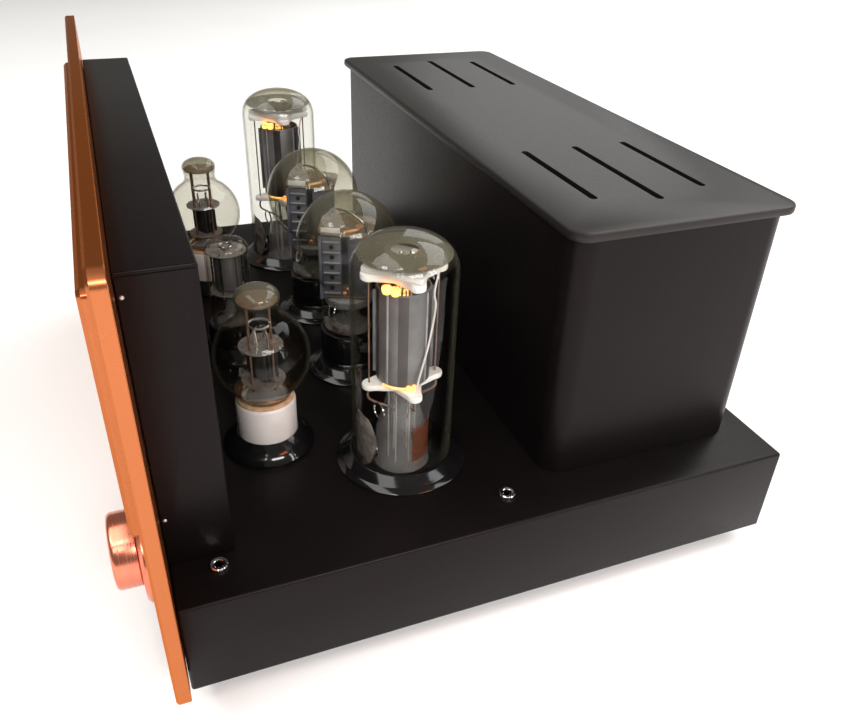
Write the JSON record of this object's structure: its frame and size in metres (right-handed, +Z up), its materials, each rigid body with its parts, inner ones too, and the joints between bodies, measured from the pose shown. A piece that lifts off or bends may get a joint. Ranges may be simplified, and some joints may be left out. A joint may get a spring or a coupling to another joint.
{
  "type": "tube amplifier",
  "caption": "Valve amplifier: black steel chassis, thick copper-coloured front panel with meters and knobs, plug-in valves on the deck, slotted transformer cover behind.",
  "frame": {"origin": "at floor level, in the middle of the footprint", "axes": "+X to the right seen from the front, +Y from the front panel to the back, +Z up"},
  "size_m": [0.483, 0.4018, 0.254],
  "materials": {
    "painted_steel": "satin black powder coat with fine orange peel",
    "anodised_copper": "satin copper-coloured anodising",
    "knob_copper": "turned and polished, pinkish copper anodising",
    "shaft_steel": "turned steel",
    "black_plastic": "moulded, matt",
    "rubber": "matt black rubber",
    "chrome": "bright chrome plate",
    "meter_dial": "printed cream dial in a pale case",
    "needle_black": "matt black",
    "valve_glass": "clear blown glass with a faint smoky tint",
    "plate_grey": "carbonised nickel, dull grey",
    "bakelite": "glossy black moulding",
    "ceramic": "glazed white ceramic",
    "transformer_iron": "varnished laminations and windings",
    "circuit_board": "green laminate with black capacitors"
  },
  "bodies": {
    "chassis": {"chassis_shell": "painted_steel", "bottom_plate": "painted_steel", "control_housing": "painted_steel", "transformer_cover": "painted_steel", "cover_top": "painted_steel", "front_panel": "anodised_copper", "meter_surround": "anodised_copper", "volume_bezel": "anodised_copper", "selector_bezel": "anodised_copper", "volume_pot_body": "shaft_steel", "selector_switch_body": "black_plastic", "power_switch_body": "black_plastic", "mains_inlet": "black_plastic", "input_jacks": "black_plastic", "speaker_terminals_left": "black_plastic", "speaker_terminals_right": "black_plastic", "foot_front_left": "rubber", "foot_rear_left": "rubber", "cage_socket_front_left": "chrome", "cage_socket_rear_left": "chrome", "meter_case_left": "meter_dial", "power_tube_socket_left": "bakelite", "driver_tube_socket_left": "bakelite", "input_tube_socket_left": "bakelite", "output_transformer_left": "transformer_iron", "foot_front_right": "rubber", "foot_rear_right": "rubber", "cage_socket_front_right": "chrome", "cage_socket_rear_right": "chrome", "meter_case_right": "meter_dial", "power_tube_socket_right": "bakelite", "driver_tube_socket_right": "bakelite", "input_tube_socket_right": "bakelite", "output_transformer_right": "transformer_iron", "middle_tube_socket": "bakelite", "mains_transformer": "transformer_iron", "circuit_board": "circuit_board"},
    "volume_control": {"volume_knob": "knob_copper", "volume_shaft": "shaft_steel"},
    "source_selector": {"selector_knob": "knob_copper", "selector_shaft": "shaft_steel"},
    "power_button": {"power_button": "knob_copper"},
    "needle_left": {"meter_needle_left": "needle_black"},
    "needle_right": {"meter_needle_right": "needle_black"},
    "power_tube_left": {"power_tube_glass_left": "valve_glass", "power_tube_electrodes_left": "plate_grey"},
    "driver_tube_left": {"driver_tube_glass_left": "valve_glass", "driver_tube_electrodes_left": "plate_grey", "driver_tube_base_left": "bakelite"},
    "input_tube_left": {"input_tube_glass_left": "valve_glass", "input_tube_base_left": "ceramic"},
    "power_tube_right": {"power_tube_glass_right": "valve_glass", "power_tube_electrodes_right": "plate_grey"},
    "driver_tube_right": {"driver_tube_glass_right": "valve_glass", "driver_tube_electrodes_right": "plate_grey", "driver_tube_base_right": "bakelite"},
    "input_tube_right": {"input_tube_glass_right": "valve_glass", "input_tube_base_right": "ceramic"},
    "middle_tube": {"middle_tube_glass": "valve_glass", "middle_tube_base": "bakelite"}
  },
  "joints": [
    {"name": "volume_turn", "type": "hinge", "parent": "chassis", "child": "volume_control", "pos_m": [0.168, -0.1951, 0.066], "axis": [0, 1, 0], "range_deg": [-150, 150]},
    {"name": "selector_turn", "type": "hinge", "parent": "chassis", "child": "source_selector", "pos_m": [-0.168, -0.1951, 0.066], "axis": [0, 1, 0], "range_deg": [-45, 45]},
    {"name": "power_press", "type": "slide", "parent": "chassis", "child": "power_button", "axis": [0, 1, 0], "range_m": [0, 0.003], "stiffness_N_per_m": 300},
    {"name": "meter_swing_left", "type": "hinge", "parent": "chassis", "child": "needle_left", "pos_m": [-0.092, -0.1761, 0.135], "axis": [0, 1, 0], "range_deg": [0, 90], "stiffness_Nm_per_rad": 0.0002},
    {"name": "meter_swing_right", "type": "hinge", "parent": "chassis", "child": "needle_right", "pos_m": [0.092, -0.1761, 0.135], "axis": [0, 1, 0], "range_deg": [0, 90], "stiffness_Nm_per_rad": 0.0002},
    {"name": "power_tube_lift_left", "type": "slide", "parent": "chassis", "child": "power_tube_left", "axis": [0, 0, 1], "range_m": [0, 0.06]},
    {"name": "driver_tube_lift_left", "type": "slide", "parent": "chassis", "child": "driver_tube_left", "axis": [0, 0, 1], "range_m": [0, 0.035]},
    {"name": "input_tube_lift_left", "type": "slide", "parent": "chassis", "child": "input_tube_left", "axis": [0, 0, 1], "range_m": [0, 0.03]},
    {"name": "power_tube_lift_right", "type": "slide", "parent": "chassis", "child": "power_tube_right", "axis": [0, 0, 1], "range_m": [0, 0.06]},
    {"name": "driver_tube_lift_right", "type": "slide", "parent": "chassis", "child": "driver_tube_right", "axis": [0, 0, 1], "range_m": [0, 0.035]},
    {"name": "input_tube_lift_right", "type": "slide", "parent": "chassis", "child": "input_tube_right", "axis": [0, 0, 1], "range_m": [0, 0.03]},
    {"name": "middle_tube_lift", "type": "slide", "parent": "chassis", "child": "middle_tube", "axis": [0, 0, 1], "range_m": [0, 0.03]}
  ]
}
